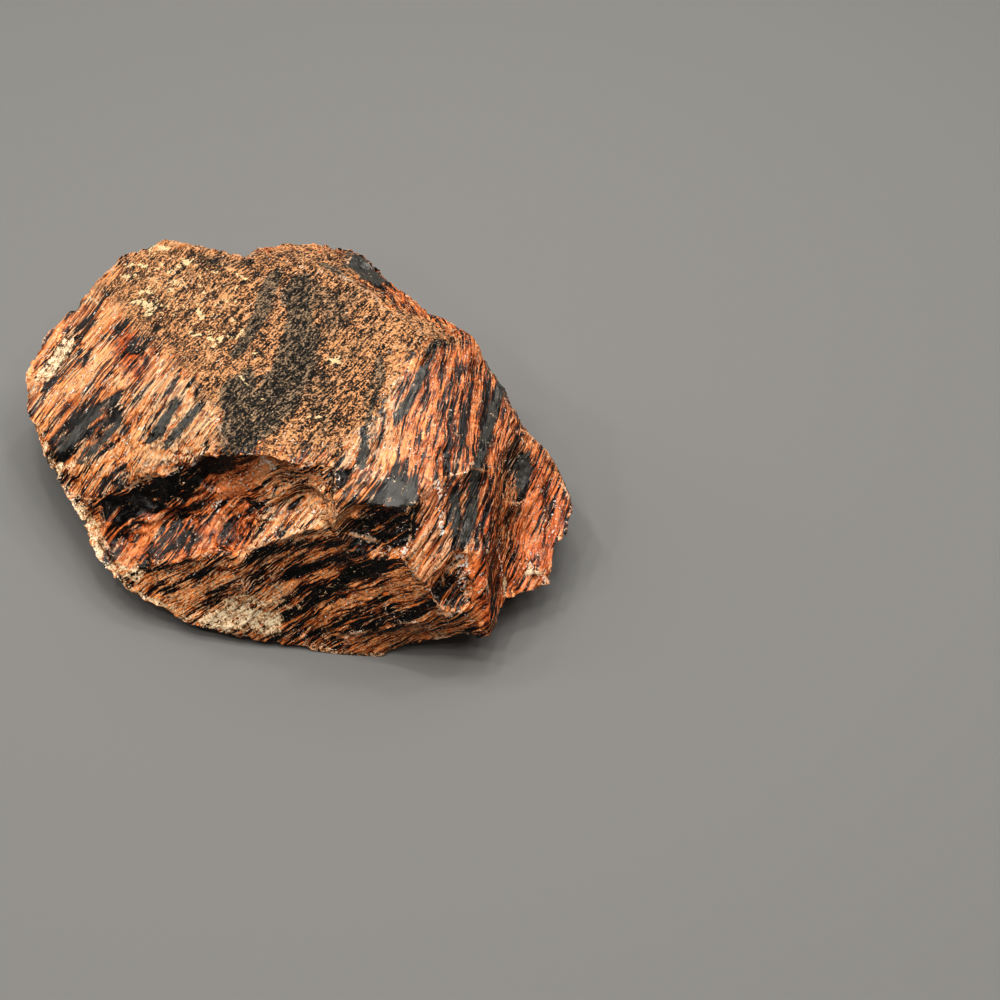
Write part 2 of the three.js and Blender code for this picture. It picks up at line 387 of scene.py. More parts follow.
def sculpt(places, normals, ridgeGap, cover):
    grounded = rise(places[:, 2], *relief["groundClear"])
    seeds = relief["seeds"]
    bent = places.copy()
    for order, (size, amount) in enumerate(relief["bend"]):
        for axis in range(3):
            seed = seeds["bend"] + order * 3 + axis
            bent[:, axis] += amount * mm * grounded * grain(places, (size,) * 3, seed)
    turned = places @ np.array(flow["turn"]).T
    height = np.zeros(len(places))
    for order, (size, amount) in enumerate(relief["plates"]):
        plates = grain(turned, size, seeds["plates"] + order, octaves=2)
        height += amount * (1 - relief["platesWorn"] * cover) * plates
    for order, (size, amount) in enumerate(relief["pits"]):
        height -= amount * cover * np.abs(grain(places, (size,) * 3, seeds["pits"] + order, octaves=2))
    bendSize, bendAmount = relief["wobble"]
    wobble = bendAmount * grain(places, (bendSize,) * 3, seeds["wobble"], octaves=2)
    for (px, py), reach, spacing, amount in relief["ripples"]:
        centre = onStone(px, py)
        if centre is None:
            continue
        gap = np.sqrt(((places - np.array(centre)) ** 2).sum(1)) / mm
        fall = np.clip(1 - gap / (reach * pixelSize / mm), 0, 1) ** relief["rippleFade"]
        turns = gap / spacing * (1 + gap / relief["rippleCrowding"])
        height += amount * fall * (1 - cover) * np.sin(2 * math.pi * turns + wobble)
    crumbs = grain(places, (relief["chipSize"],) * 3, seeds["chips"], octaves=3)
    chips = np.clip(relief["chipShare"] + crumbs, 0, 1)
    height -= relief["crushDepth"] * chips * np.clip(1 - ridgeGap / (relief["crushReach"] * mm), 0, 1)
    return bent + normals * (height * grounded * mm)[:, None]


# Flakes struck off the stone: each leaves a shallow round hollow with fine ripples.
flakes = {
    "placed": [
        # middle in pixels, half width and depth in mm
        ((372, 538), 11.0, 3.2), ((398, 530), 7.5, 2.4), ((352, 520), 6.0, 1.6), ((444, 592), 8.0, 2.6),
        ((270, 470), 6.5, 1.6), ((212, 470), 7.0, 1.8), ((150, 492), 8.0, 1.6), ((116, 544), 7.0, 2.0),
        ((96, 520), 6.0, 1.4), ((72, 486), 5.0, 1.2), ((52, 362), 9.0, 0.9), ((140, 345), 5.0, 0.9),
        ((196, 392), 5.0, 0.9), ((240, 605), 9.0, 1.2), ((330, 640), 7.0, 1.2), ((420, 640), 6.0, 1.4),
        ((510, 500), 8.0, 1.5), ((522, 470), 6.0, 0.9), ((535, 540), 5.0, 0.8), ((506, 588), 4.0, 1.0),
        ((455, 470), 9.0, 1.0), ((300, 520), 10.0, 1.0), ((236, 520), 9.0, 1.2),
        ((180, 540), 10.0, 1.2), ((338, 478), 6.0, 1.4), ((462, 575), 6.0, 1.6), ((488, 560), 4.0, 1.0),
        ((430, 372), 6.0, 0.8), ((480, 372), 6.0, 1.0), ((360, 268), 6.0, 1.2),
    ],
    "kept": [(486, 632), (30, 378)],    # corners that stay whole
    "count": 420,                    # small ones, scattered along the ridges
    "halfWidth": (1.3, 5.5),
    "depthShare": (0.08, 0.19),
    "big": 70,                       # broad ones, on the faces that the photograph hides
    "bigHalfWidth": (6.0, 17.0),
    "bigDepthShare": (0.06, 0.11),
    "ripple": 0.10,                  # height of the fine ripples in mm
    "rippleRate": 5.5,               # how close together they are
    "rippleWidth": 5,                # narrower flakes have lower ripples
    "rim": 0.25,                     # share of its half width over which a flake fades out
    "facing": (0.05, 0.3),           # faces turned away from the blow are left alone
    "lowest": 0.8 * mm,
    "seed": 5,
    "hiddenTurn": -0.2,              # a face turned this far from the camera is hidden
    "hiddenHeight": 4 * mm,
    "seenStep": 3,                   # every third seen corner is enough to keep clear of
    "spread": 0.5,                   # how far a blow leans from square to the ridge
    "smallShare": 2.6,               # above 1, most small flakes are near the smaller size
    "keptReach": 9 * mm,
}


def strike(places, normals, middle, out, halfWidth, depth):
    # presses a ball of the right size into the stone at "middle", from the side that "out" points to
    radius = halfWidth ** 2 / (2 * depth)
    rim = 1 + flakes["rim"]
    near = np.flatnonzero(np.all(np.abs(places - middle) < halfWidth * rim * mm, axis=1))
    if not len(near):
        return
    centre = middle + out * (radius - depth) * mm
    arms = places[near] - centre
    reach = np.sqrt((arms ** 2).sum(1))
    gap = np.sqrt(((places[near] - middle - out * depth * mm) ** 2).sum(1)) / mm
    wave = flakes["ripple"] * np.sin(gap * flakes["rippleRate"] / math.sqrt(halfWidth))
    goal = (radius + wave * min(1, halfWidth / flakes["rippleWidth"])) * mm
    # it fades out past its rim and leaves faces that look the other way alone
    apart = np.sqrt(((places[near] - middle) ** 2).sum(1)) / (halfWidth * mm)
    hold = np.clip((rim - apart) / flakes["rim"], 0, 1) * rise(normals[near] @ out, *flakes["facing"])
    cut = (reach < goal) & (places[near][:, 2] > flakes["lowest"])
    places[near[cut]] += arms[cut] * (hold[cut] * (goal[cut] / reach[cut] - 1))[:, None]


def strikeAll(places, normals, ridgePoints, ridgeNormals):
    rng = random.Random(flakes["seed"])
    kept = [np.array(onStone(px, py)) for px, py in flakes["kept"]]
    seen = -normals @ np.array(view["ahead"])
    hidden = np.flatnonzero((seen < flakes["hiddenTurn"]) & (places[:, 2] > flakes["hiddenHeight"]))
    inView = places[seen > 0][::flakes["seenStep"]]
    clearance = away(places[hidden], inView) / mm
    roomy = clearance > flakes["bigHalfWidth"][0]
    hidden, clearance = hidden[roomy], clearance[roomy]
    for _ in range(flakes["big"]):
        pick = rng.randrange(len(hidden))
        spot = hidden[pick]
        halfWidth = min(clearance[pick], rng.uniform(*flakes["bigHalfWidth"]))
        depth = halfWidth * rng.uniform(*flakes["bigDepthShare"])
        strike(places, normals, places[spot].copy(), normals[spot], halfWidth, depth)
    for (px, py), halfWidth, depth in flakes["placed"]:
        hit, normal = surface.ray_cast(view["place"], rayThrough(px, py))[:2]
        if hit:
            strike(places, normals, np.array(hit), np.array(normal), halfWidth, depth)
    low, high = flakes["halfWidth"]
    for _ in range(flakes["count"]):
        spot = rng.randrange(len(ridgePoints))
        lean = Vector([rng.uniform(-flakes["spread"], flakes["spread"]) for _ in range(3)])
        out = ridgeNormals[spot] + lean
        halfWidth = low + (high - low) * rng.random() ** flakes["smallShare"]
        middle = np.array(ridgePoints[spot])
        if min(np.linalg.norm(middle - corner) for corner in kept) < flakes["keptReach"]:
            continue
        depth = halfWidth * rng.uniform(*flakes["depthShare"])
        strike(places, normals, middle, np.array(out.normalized()), halfWidth, depth)


def readMesh(mesh):
    places = np.empty(len(mesh.vertices) * 3)
    mesh.vertices.foreach_get("co", places)
    normals = np.empty(len(mesh.vertices) * 3)
    mesh.vertex_normals.foreach_get("vector", normals)
    return places.reshape(-1, 3), normals.reshape(-1, 3)


def convexRidges(bm, layer, degrees):
    # the corners along the outward ridges, and the way each faces
    sharp = math.radians(degrees)
    bm.normal_update()
    found = [vert for vert in bm.verts if vert[layer] > skin["ridgeMark"] and any(
        edge.is_convex and edge.calc_face_angle(0) > sharp for edge in vert.link_edges)]
    return [vert.co.copy() for vert in found], [vert.normal.copy() for vert in found]


ridgePoints, ridgeNormals = convexRidges(skinMesh, skinMesh.verts.layers.float["ridge"], skin["chipAngle"])
mesh = bpy.data.meshes.new("stoneSkin")
skinMesh.to_mesh(mesh)
skinMesh.free()
places, normals = readMesh(mesh)
smoothPlaces = places.copy()
ridgeGap = away(places, ridgePoints)
cover = weatheredSkin(places, normals)
report("measured")
strikeAll(places, normals, ridgePoints, ridgeNormals)
places = sculpt(places, normals, ridgeGap, cover)
mesh.vertices.foreach_set("co", places.ravel())
mesh.update()
mesh.polygons.foreach_set("use_smooth", [True] * len(mesh.polygons))
mesh.set_sharp_from_angle(angle=math.radians(skin["shadeAngle"]))
report("sculpted")


# Markings, as brush strokes across the stone. Each has a path and a width in pixels of the
# photograph, and a strength. First the black lenses and streaks:
# (the strokes under the brow are also painted shade under its overhang)
darkStrokes = {
    "west face": [
        ([(58, 438), (84, 419), (112, 402)], 14, 1.7), ([(64, 454), (92, 434), (120, 410)], 10, 1.5),
        ([(84, 364), (90, 350), (104, 337)], 4, 1.2), ([(104, 398), (122, 380), (138, 366)], 5, 0.9),
        ([(146, 440), (166, 418), (182, 398)], 7, 1.2), ([(162, 446), (184, 424), (202, 404)], 6, 1.2),
        ([(96, 490), (108, 478), (122, 466)], 5, 1.0), ([(178, 448), (196, 436), (214, 420)], 3, 1.0),
        ([(60, 460), (76, 448), (90, 438)], 4, 0.8), ([(138, 374), (150, 360), (160, 346)], 3, 0.9),
        ([(96, 456), (116, 440), (134, 424)], 3, 0.9), ([(120, 428), (136, 412), (150, 396)], 3, 0.7),
        ([(116, 322), (124, 332), (132, 338)], 7, 0.8), ([(194, 384), (200, 394), (206, 402)], 8, 0.7),
        ([(128, 340), (132, 346), (135, 352)], 4, 1.2), ([(140, 350), (144, 358), (147, 368)], 4, 1.1),
        ([(117, 342), (120, 350), (124, 356)], 3, 1.1), ([(132, 360), (137, 368), (142, 376)], 4, 1.2),
        ([(44, 346), (62, 322), (84, 298)], 5, 0.8), ([(150, 400), (164, 384), (178, 370)], 3, 0.8),
    ],
    # the black band under the brow, darkened further as painted shade under its overhang
    "under the brow": [
        ([(106, 508), (140, 494), (180, 477), (226, 463)], 14, 2.0),
        ([(126, 506), (160, 494), (196, 478)], 19, 2.2),
        ([(112, 520), (150, 503), (196, 486)], 9, 0.9), ([(130, 545), (160, 528), (200, 508)], 6, 0.5),
        ([(262, 478), (276, 492), (290, 505)], 6, 0.6), ([(226, 462), (250, 456), (262, 458)], 4, 0.7),
        ([(170, 540), (200, 526), (226, 514)], 4, 0.5), ([(140, 560), (180, 546), (220, 530)], 5, 0.5),
        ([(280, 478), (300, 482), (320, 496)], 5, 0.7), ([(300, 470), (318, 468), (330, 474)], 6, 0.7),
    ],
    "front face": [
        ([(252, 558), (286, 546), (322, 542), (350, 544)], 7, 1.2),
        ([(292, 574), (328, 562), (364, 556)], 9, 1.2),
        ([(340, 570), (372, 560), (404, 562)], 7, 1.2), ([(300, 590), (340, 580), (384, 566)], 6, 1.1),
        ([(284, 616), (312, 600), (346, 586)], 8, 1.2), ([(388, 626), (412, 613), (436, 600)], 9, 1.1),
        ([(330, 622), (360, 606), (392, 594)], 4, 0.9), ([(150, 592), (190, 578), (232, 566)], 4, 0.8),
        ([(188, 600), (230, 584), (262, 572)], 5, 0.9), ([(306, 636), (340, 622), (372, 612)], 5, 0.9),
        ([(410, 590), (424, 584), (436, 582)], 5, 0.9), ([(340, 634), (372, 624), (410, 618)], 5, 0.9),
        ([(130, 580), (160, 570), (196, 560)], 4, 0.8), ([(376, 584), (400, 578), (426, 572)], 3, 0.9),
    ],
    "east face": [
        ([(384, 372), (374, 398), (366, 430), (359, 458)], 4, 1.4),
        ([(396, 420), (408, 402), (426, 370)], 6, 1.2),
        ([(426, 352), (436, 344), (444, 340)], 7, 1.0), ([(500, 384), (494, 408), (487, 434)], 9, 1.6),
        ([(486, 438), (480, 462), (474, 486)], 7, 1.5), ([(454, 492), (457, 520), (455, 545)], 7, 1.4),
        ([(474, 498), (470, 520), (464, 542)], 9, 1.4), ([(334, 462), (338, 480), (336, 496)], 12, 1.0),
        ([(452, 404), (448, 440), (444, 472)], 4, 1.0), ([(462, 402), (460, 440), (456, 480)], 4, 1.0),
        ([(470, 396), (466, 430), (462, 470)], 3, 0.9), ([(386, 478), (396, 496), (404, 516)], 22, 1.5),
        ([(350, 508), (366, 506), (380, 506)], 8, 1.0), ([(368, 462), (366, 474), (362, 482)], 7, 1.0),
        ([(376, 366), (370, 384), (364, 404)], 3, 0.9), ([(410, 376), (402, 396), (396, 410)], 3, 0.8),
    ],
    "spur and scallops": [
        ([(486, 500), (484, 530), (482, 560)], 4, 1.0), ([(494, 520), (492, 560), (490, 606)], 6, 1.1),
        ([(520, 460), (524, 478), (520, 496)], 12, 1.1), ([(508, 520), (512, 545), (512, 562)], 6, 0.9),
        ([(524, 420), (538, 444), (552, 470)], 4, 0.8), ([(440, 585), (446, 592), (452, 598)], 12, 1.3),
        ([(478, 590), (482, 610), (486, 628)], 3, 0.8), ([(560, 480), (566, 505), (564, 540)], 4, 0.7),
    ],
    "black nick": [
        ([(356, 534), (376, 534), (400, 532)], 20, 1.4), ([(366, 520), (386, 524), (406, 520)], 10, 1.2),
    ],
    "weathered top": [
        ([(272, 276), (264, 302), (254, 328), (240, 350)], 13, 1.3),
        ([(296, 284), (298, 312), (296, 345)], 20, 1.2),
        ([(292, 350), (288, 378), (276, 405)], 34, 1.3), ([(236, 384), (238, 410), (236, 440)], 22, 1.5),
        ([(262, 400), (262, 425), (256, 444)], 24, 1.3), ([(330, 330), (340, 300), (352, 296)], 26, 0.5),
        ([(330, 380), (350, 350), (372, 330)], 22, 0.4), ([(352, 264), (366, 272), (380, 286)], 16, 1.5),
        ([(322, 262), (334, 268), (344, 272)], 8, 1.0), ([(378, 358), (380, 372), (378, 386)], 6, 0.8),
        ([(310, 290), (326, 300), (338, 320)], 16, 0.6), ([(316, 380), (322, 400), (316, 430)], 20, 0.5),
        ([(196, 258), (222, 264), (246, 262)], 9, 0.5), ([(206, 300), (214, 288), (222, 276)], 5, 0.6),
    ],
}
# paler bands
lightStrokes = {
    "west face": [
        ([(76, 392), (98, 356), (118, 306)], 14, 0.9), ([(92, 470), (128, 440), (156, 408)], 10, 1.0),
        ([(45, 402), (60, 394), (72, 380)], 14, 0.9), ([(104, 470), (140, 452), (170, 428)], 6, 0.7),
    ],
    "scoop": [
        ([(222, 490), (246, 478), (262, 466)], 15, 2.2), ([(252, 546), (276, 524), (300, 500)], 10, 1.2),
        ([(282, 540), (300, 520), (312, 496)], 8, 1.0), ([(262, 500), (276, 494), (288, 486)], 6, 0.8),
        ([(196, 500), (216, 492), (236, 486)], 4, 0.9), ([(236, 550), (270, 542), (300, 536)], 4, 1.0),
        ([(150, 538), (190, 524), (236, 508)], 14, 0.7), ([(196, 556), (232, 546), (262, 536)], 8, 0.7),
        ([(212, 548), (224, 532), (234, 520)], 9, 1.0), ([(146, 550), (168, 534), (188, 518)], 8, 0.8),
        ([(300, 530), (312, 505), (324, 485)], 5, 0.9),
    ],
    "front face": [
        ([(262, 598), (276, 591), (292, 584)], 9, 1.4), ([(322, 608), (366, 594), (420, 572)], 7, 1.2),
        ([(300, 562), (330, 552), (360, 550)], 3, 0.8), ([(160, 578), (200, 567), (240, 557)], 4, 0.7),
        ([(340, 622), (380, 606), (420, 590)], 4, 0.8), ([(200, 590), (230, 578), (256, 566)], 3, 0.7),
    ],
    "east face": [
        ([(404, 446), (420, 420), (446, 366)], 16, 0.7), ([(440, 364), (462, 352), (480, 356)], 16, 0.7),
        ([(476, 400), (470, 440), (462, 480)], 5, 0.8), ([(506, 408), (498, 440), (492, 470)], 10, 1.2),
        ([(486, 480), (480, 500), (476, 520)], 5, 0.9), ([(424, 500), (420, 530), (420, 566)], 8, 0.9),
        ([(390, 376), (382, 400), (374, 430)], 7, 0.7),
    ],
    "spur and scallops": [
        ([(470, 564), (474, 590), (480, 622)], 10, 1.0), ([(530, 510), (528, 535), (524, 560)], 14, 0.9),
        ([(556, 490), (560, 510), (556, 530)], 8, 0.7),
    ],
    "weathered top": [
        ([(268, 442), (288, 436), (306, 430)], 12, 1.6), ([(396, 340), (400, 350), (392, 372)], 12, 0.6),
        ([(284, 310), (278, 340), (268, 370)], 7, 1.3), ([(160, 276), (190, 290), (220, 300)], 24, 0.8),
        ([(366, 290), (390, 308), (420, 328)], 9, 1.0), ([(200, 346), (220, 360), (236, 372)], 10, 0.6),
    ],
}
# splintery places that glint, by tilted facets and by painted white glints
sparkleStrokes = [
    ([(356, 526), (376, 530), (404, 528)], 26, 1.0), ([(366, 548), (390, 552), (406, 548)], 10, 0.9),
    ([(432, 590), (446, 594), (456, 590)], 20, 1.0), ([(85, 370), (87, 395), (88, 420)], 6, 0.9),
    ([(112, 400), (120, 408), (126, 420)], 6, 1.0), ([(155, 330), (157, 350), (160, 370)], 7, 0.9),
    ([(70, 440), (96, 422), (112, 408)], 12, 0.8), ([(440, 484), (442, 510), (440, 540)], 6, 1.0),
    ([(180, 468), (196, 458), (208, 450)], 5, 1.0), ([(524, 572), (532, 568), (540, 574)], 10, 1.0),
    ([(262, 464), (268, 466), (272, 470)], 8, 1.0), ([(330, 462), (338, 476), (340, 492)], 12, 0.8),
    ([(204, 502), (212, 508), (220, 512)], 10, 0.8), ([(190, 386), (198, 394), (204, 402)], 10, 0.9),
    ([(136, 428), (142, 416), (146, 408)], 5, 0.9), ([(100, 452), (118, 440), (130, 434)], 5, 0.8),
    ([(400, 612), (420, 622), (440, 628)], 8, 0.8), ([(300, 632), (330, 640), (360, 644)], 7, 0.7),
    ([(450, 556), (460, 568), (466, 584)], 9, 1.0), ([(340, 444), (352, 452), (362, 462)], 7, 0.8),
    ([(500, 540), (502, 570), (504, 594)], 5, 1.0), ([(296, 262), (330, 276), (364, 290)], 3, 0.8),
    ([(140, 470), (160, 462), (180, 456)], 6, 0.8), ([(440, 450), (446, 470), (444, 490)], 6, 0.8),
    ([(540, 470), (548, 500), (552, 540)], 10, 0.6), ([(112, 330), (124, 346), (132, 362)], 10, 0.7),
]
# chalky scars on the rim and the front
chalkStrokes = [
    ([(44, 376), (53, 363), (66, 346)], 24, 0.9), ([(58, 466), (66, 466), (74, 464)], 6, 0.9),
    ([(78, 500), (86, 520), (102, 545)], 16, 0.7), ([(112, 564), (124, 572), (138, 576)], 16, 0.7),
    ([(214, 622), (240, 614), (268, 622)], 26, 0.95), ([(226, 604), (244, 598), (262, 600)], 10, 0.7),
    ([(506, 580), (507, 590), (508, 596)], 7, 0.9), ([(526, 572), (532, 570), (538, 572)], 6, 0.8),
    ([(36, 425), (50, 456), (64, 486), (80, 520)], 8, 0.6), ([(96, 548), (112, 572), (132, 590)], 9, 0.7),
    ([(134, 591), (170, 610), (215, 630)], 6, 0.7), ([(300, 648), (340, 653), (384, 655)], 4, 0.5),
    ([(90, 296), (98, 304), (104, 312)], 4, 0.7), ([(266, 608), (282, 602), (296, 600)], 18, 0.42),
]
# edges with white nicks and painted glints
nickAndGlintStrokes = [
    ([(262, 461), (267, 465), (272, 470)], 4, 1.0), ([(439, 486), (440, 505), (442, 532)], 5, 0.8),
    ([(459, 558), (461, 572), (458, 588)], 8, 0.8), ([(501, 540), (502, 566), (503, 596)], 4, 0.8),
    ([(130, 518), (160, 518), (200, 521)], 2, 0.8), ([(108, 507), (130, 504), (150, 506)], 2, 0.8),
    ([(380, 447), (412, 450), (446, 456)], 2, 0.8), ([(352, 516), (370, 507), (392, 500)], 2, 0.7),
    ([(182, 470), (196, 462), (206, 452)], 4, 0.7), ([(350, 440), (360, 455), (364, 466)], 3, 0.7),
    ([(86, 410), (90, 416), (88, 424)], 4, 0.8), ([(104, 340), (96, 352), (90, 366)], 3, 0.6),
    ([(396, 548), (402, 552), (408, 556)], 4, 1.0), ([(66, 486), (74, 506), (88, 530)], 6, 0.6),
]
# crusts of cream residue on the weathered top
residueStrokes = [
    ([(148, 250), (158, 248), (166, 250)], 6, 1.0), ([(150, 256), (156, 254), (160, 246)], 4, 0.9),
    ([(126, 266), (136, 265), (146, 267)], 5, 1.0), ([(120, 276), (130, 277), (138, 275)], 5, 1.0),
    ([(150, 270), (160, 268), (166, 262)], 4, 0.8), ([(168, 272), (176, 268), (188, 262)], 6, 1.0),
    ([(168, 280), (178, 281), (184, 284)], 4, 0.9), ([(184, 262), (190, 262), (194, 260)], 4, 0.8),
    ([(138, 292), (146, 291), (152, 294)], 5, 1.0), ([(134, 302), (144, 304), (154, 306)], 8, 1.0),
    ([(142, 312), (148, 313), (156, 312)], 4, 0.9), ([(162, 306), (166, 304), (168, 308)], 4, 0.9),
    ([(197, 311), (200, 313), (201, 318)], 5, 1.0), ([(190, 332), (194, 335), (202, 334)], 4, 1.0),
    ([(210, 337), (216, 340), (222, 337)], 4, 1.0), ([(228, 336), (236, 337), (243, 330)], 3.5, 1.0),
    ([(205, 345), (211, 347), (216, 343)], 3, 1.0), ([(252, 354), (256, 353), (259, 352)], 3, 1.0),
    ([(331, 359), (333, 358), (335, 359)], 7, 1.1), ([(304, 419), (308, 418), (311, 417)], 2.4, 1.0),
    ([(316, 418), (320, 416), (325, 415)], 2.4, 1.0), ([(241, 376), (244, 382), (247, 384)], 2.5, 1.0),
    ([(257, 394), (261, 397), (264, 399)], 2.2, 0.9), ([(233, 272), (238, 275), (245, 279)], 4, 0.9),
    ([(198, 276), (202, 278), (206, 276)], 4, 0.8), ([(218, 280), (222, 278), (228, 276)], 3, 0.7),
]


# How each face differs as a whole, inside an outline in pixels
zones = {
    "scoop": {
        "outline": [(98, 500), (150, 488), (252, 455), (262, 500), (240, 556), (120, 568), (98, 530)],
        "darker": 0.16, "redder": 0.5,
    },
    "scoop, right": {
        "outline": [(262, 462), (330, 468), (350, 520), (300, 548), (246, 552), (262, 500)],
        "darker": -0.22, "tanner": 0.8,
    },
    "spur, east side": {
        "outline": [(484, 506), (496, 516), (500, 600), (490, 638), (484, 600), (480, 550)],
        "darker": 0.3, "redder": 0.9,
    },
    "spur, top": {
        "outline": [(460, 560), (480, 556), (484, 600), (486, 632), (472, 606)],
        "darker": -0.15, "redder": 0.8,
    },
    "back rim": {
        "outline": [(248, 238), (350, 240), (470, 312), (480, 345), (440, 330), (360, 272), (252, 264)],
        "redder": 0.6,
    },
    "west face": {
        "outline": [(26, 360), (100, 284), (130, 316), (222, 402), (226, 446), (180, 462), (96, 494),
                    (60, 452), (28, 402)],
        "darker": -0.28, "tanner": 0.3,
    },
    "west face, right": {
        "outline": [(146, 366), (222, 402), (226, 446), (180, 462), (130, 476), (150, 420)],
        "tanner": 0.8,
    },
    "front": {
        "outline": [(120, 568), (240, 552), (345, 530), (440, 575), (430, 640), (380, 660), (240, 640)],
        "darker": 0.02, "redder": 0.1, "tanner": 0.1,
    },
    "front, left": {
        "outline": [(150, 560), (280, 545), (290, 600), (230, 640), (160, 610)],
        "tanner": 0.6,
    },
    "blade": {
        "outline": [(428, 490), (474, 500), (474, 560), (418, 584), (412, 560)],
        "darker": -0.4, "tanner": 0.7,
    },
    "right rim": {
        "outline": [(528, 440), (575, 500), (560, 570), (500, 605), (508, 520)],
        "darker": 0.02, "redder": 0.85,
    },
    "east lobe": {
        "outline": [(505, 440), (532, 450), (528, 510), (512, 570), (502, 540)],
        "darker": 0.1, "tanner": 0.8,
    },
    "east face": {
        "outline": [(440, 340), (480, 345), (520, 420), (500, 520), (430, 580), (400, 500), (400, 400)],
        "darker": 0.36, "redder": 0.55, "tanner": 0.1,
    },
    "east face, left": {
        "outline": [(372, 380), (404, 372), (392, 440), (372, 478), (330, 470), (350, 430)],
        "tanner": 0.9,
    },
    "red pits": {
        "outline": [(112, 322), (132, 330), (150, 372), (136, 384), (118, 360)],
        "darker": 0.25, "redder": 0.9,
    },
}


def strokesOn(places, groups, widen=1.0, softness=0.8, stretch=(1, 1, 1)):
    # all strokes together: where they overlap, the strongest counts
    total = np.zeros(len(places))
    lists = groups.values() if isinstance(groups, dict) else [groups]
    for strokes in lists:
        for path, width, strength in strokes:
            total = np.maximum(total, strength * strokeOn(places, path, width * widen, softness, stretch))
    return total


marking = {
    "lightStrength": 0.8,         # of the light strokes, against the dark ones
    "sparkleSoftness": 1.2,
    "residueStyle": (1.7, 1.5),   # how much wider its strokes are, and their softness
    "scattered": 0.56,            # residue strewn over the flaked part of the top
    "paintedReflectionSoftness": 9,            # pixels
    "zoneSoftness": 18,
    "facing": 6,                  # how sharply an outline ends where the stone turns away
    "crushReach": 2.4 * mm,       # from the ridges
    "laidOpen": (0.84, 0.10),     # how square a face is to "across" where a sheet lies open
}

# Flat panes of black glass that mirror the ceiling, painted grey as a painted reflection, as outlines in
# pixels
paintedReflectionPanes = [
    [(384, 482), (398, 476), (404, 484), (417, 474), (416, 498), (404, 510), (392, 518), (384, 516)],
    [(364, 502), (372, 498), (378, 506), (376, 516), (366, 517)],
    [(497, 382), (505, 386), (495, 420), (487, 446), (480, 444), (486, 416)],
    [(480, 446), (487, 450), (480, 476), (473, 496), (467, 492), (473, 468)],
    [(467, 498), (479, 500), (474, 522), (467, 544), (460, 540), (464, 516)],
    [(451, 494), (460, 496), (461, 520), (456, 544), (450, 528)],
    [(423, 366), (430, 372), (408, 412), (397, 424), (392, 416), (406, 396)],
    [(381, 394), (388, 396), (372, 440), (363, 468), (357, 466), (366, 436)],
    [(516, 456), (527, 452), (531, 472), (523, 492), (515, 490)],
    [(176, 398), (184, 402), (160, 436), (150, 446), (146, 440), (156, 424)],
    [(198, 402), (204, 408), (182, 434), (168, 448), (163, 444), (176, 426)],
    [(58, 450), (62, 438), (84, 421), (102, 409), (105, 413), (86, 431), (66, 452)],
    [(76, 462), (94, 443), (112, 425), (120, 414), (125, 418), (110, 437), (84, 465)],
    [(90, 414), (106, 398), (111, 401), (96, 417)],
    [(342, 256), (352, 250), (368, 260), (386, 280), (378, 288), (360, 278), (348, 268)],
]


def seenOnly(normals):
    # outlines drawn on the picture mark only what faces the camera
    return np.clip(-normals @ np.array(view["ahead"]) * marking["facing"], 0, 1)


def paintedReflectionsOn(places, normals):
    facing = seenOnly(normals)
    total = np.zeros(len(places))
    for outline in paintedReflectionPanes:
        total = np.maximum(total, insideOutline(places, outline, marking["paintedReflectionSoftness"]) * facing)
    return total


def zonesOn(places, normals, which):
    facing, soft = seenOnly(normals), marking["zoneSoftness"]
    return sum(zone[which] * insideOutline(places, zone["outline"], soft) * facing
               for zone in zones.values() if which in zone)


def store(mesh, name, values):
    layer = mesh.attributes.new(name, "FLOAT", "POINT")
    layer.data.foreach_set("value", values.astype(np.float32))


crush = np.clip(1 - ridgeGap / marking["crushReach"], 0, 1)
store(mesh, "weathered", cover)
tone = strokesOn(smoothPlaces, darkStrokes, stretch=flow["stretch"])
tone -= marking["lightStrength"] * strokesOn(smoothPlaces, lightStrokes, stretch=flow["stretch"])
store(mesh, "tone", tone + zonesOn(smoothPlaces, normals, "darker"))
store(mesh, "red", zonesOn(smoothPlaces, normals, "redder"))
store(mesh, "tan", zonesOn(smoothPlaces, normals, "tanner"))
# painted reflection: where flat black glass mirrors the ceiling, its colour is greyed
store(mesh, "paintedSheen", paintedReflectionsOn(smoothPlaces, normals))
store(mesh, "sparkle", strokesOn(smoothPlaces, sparkleStrokes, softness=marking["sparkleSoftness"]))
store(mesh, "laidOpen", rise(np.abs(normals @ np.array(flow["across"])), *marking["laidOpen"]))
store(mesh, "chalk", strokesOn(smoothPlaces, chalkStrokes))
store(mesh, "nicksAndPaintedGlints", strokesOn(smoothPlaces, nickAndGlintStrokes))
flaked = insideOutline(smoothPlaces, weathered["flaked"], weathered["flakedSoftness"])
flaked *= marking["scattered"] * rise(normals[:, 2], *weathered["flakedSlope"])
crusts = strokesOn(smoothPlaces, residueStrokes, *marking["residueStyle"])
store(mesh, "residue", np.maximum(crusts, flaked))
store(mesh, "crush", crush)
report("markings placed")


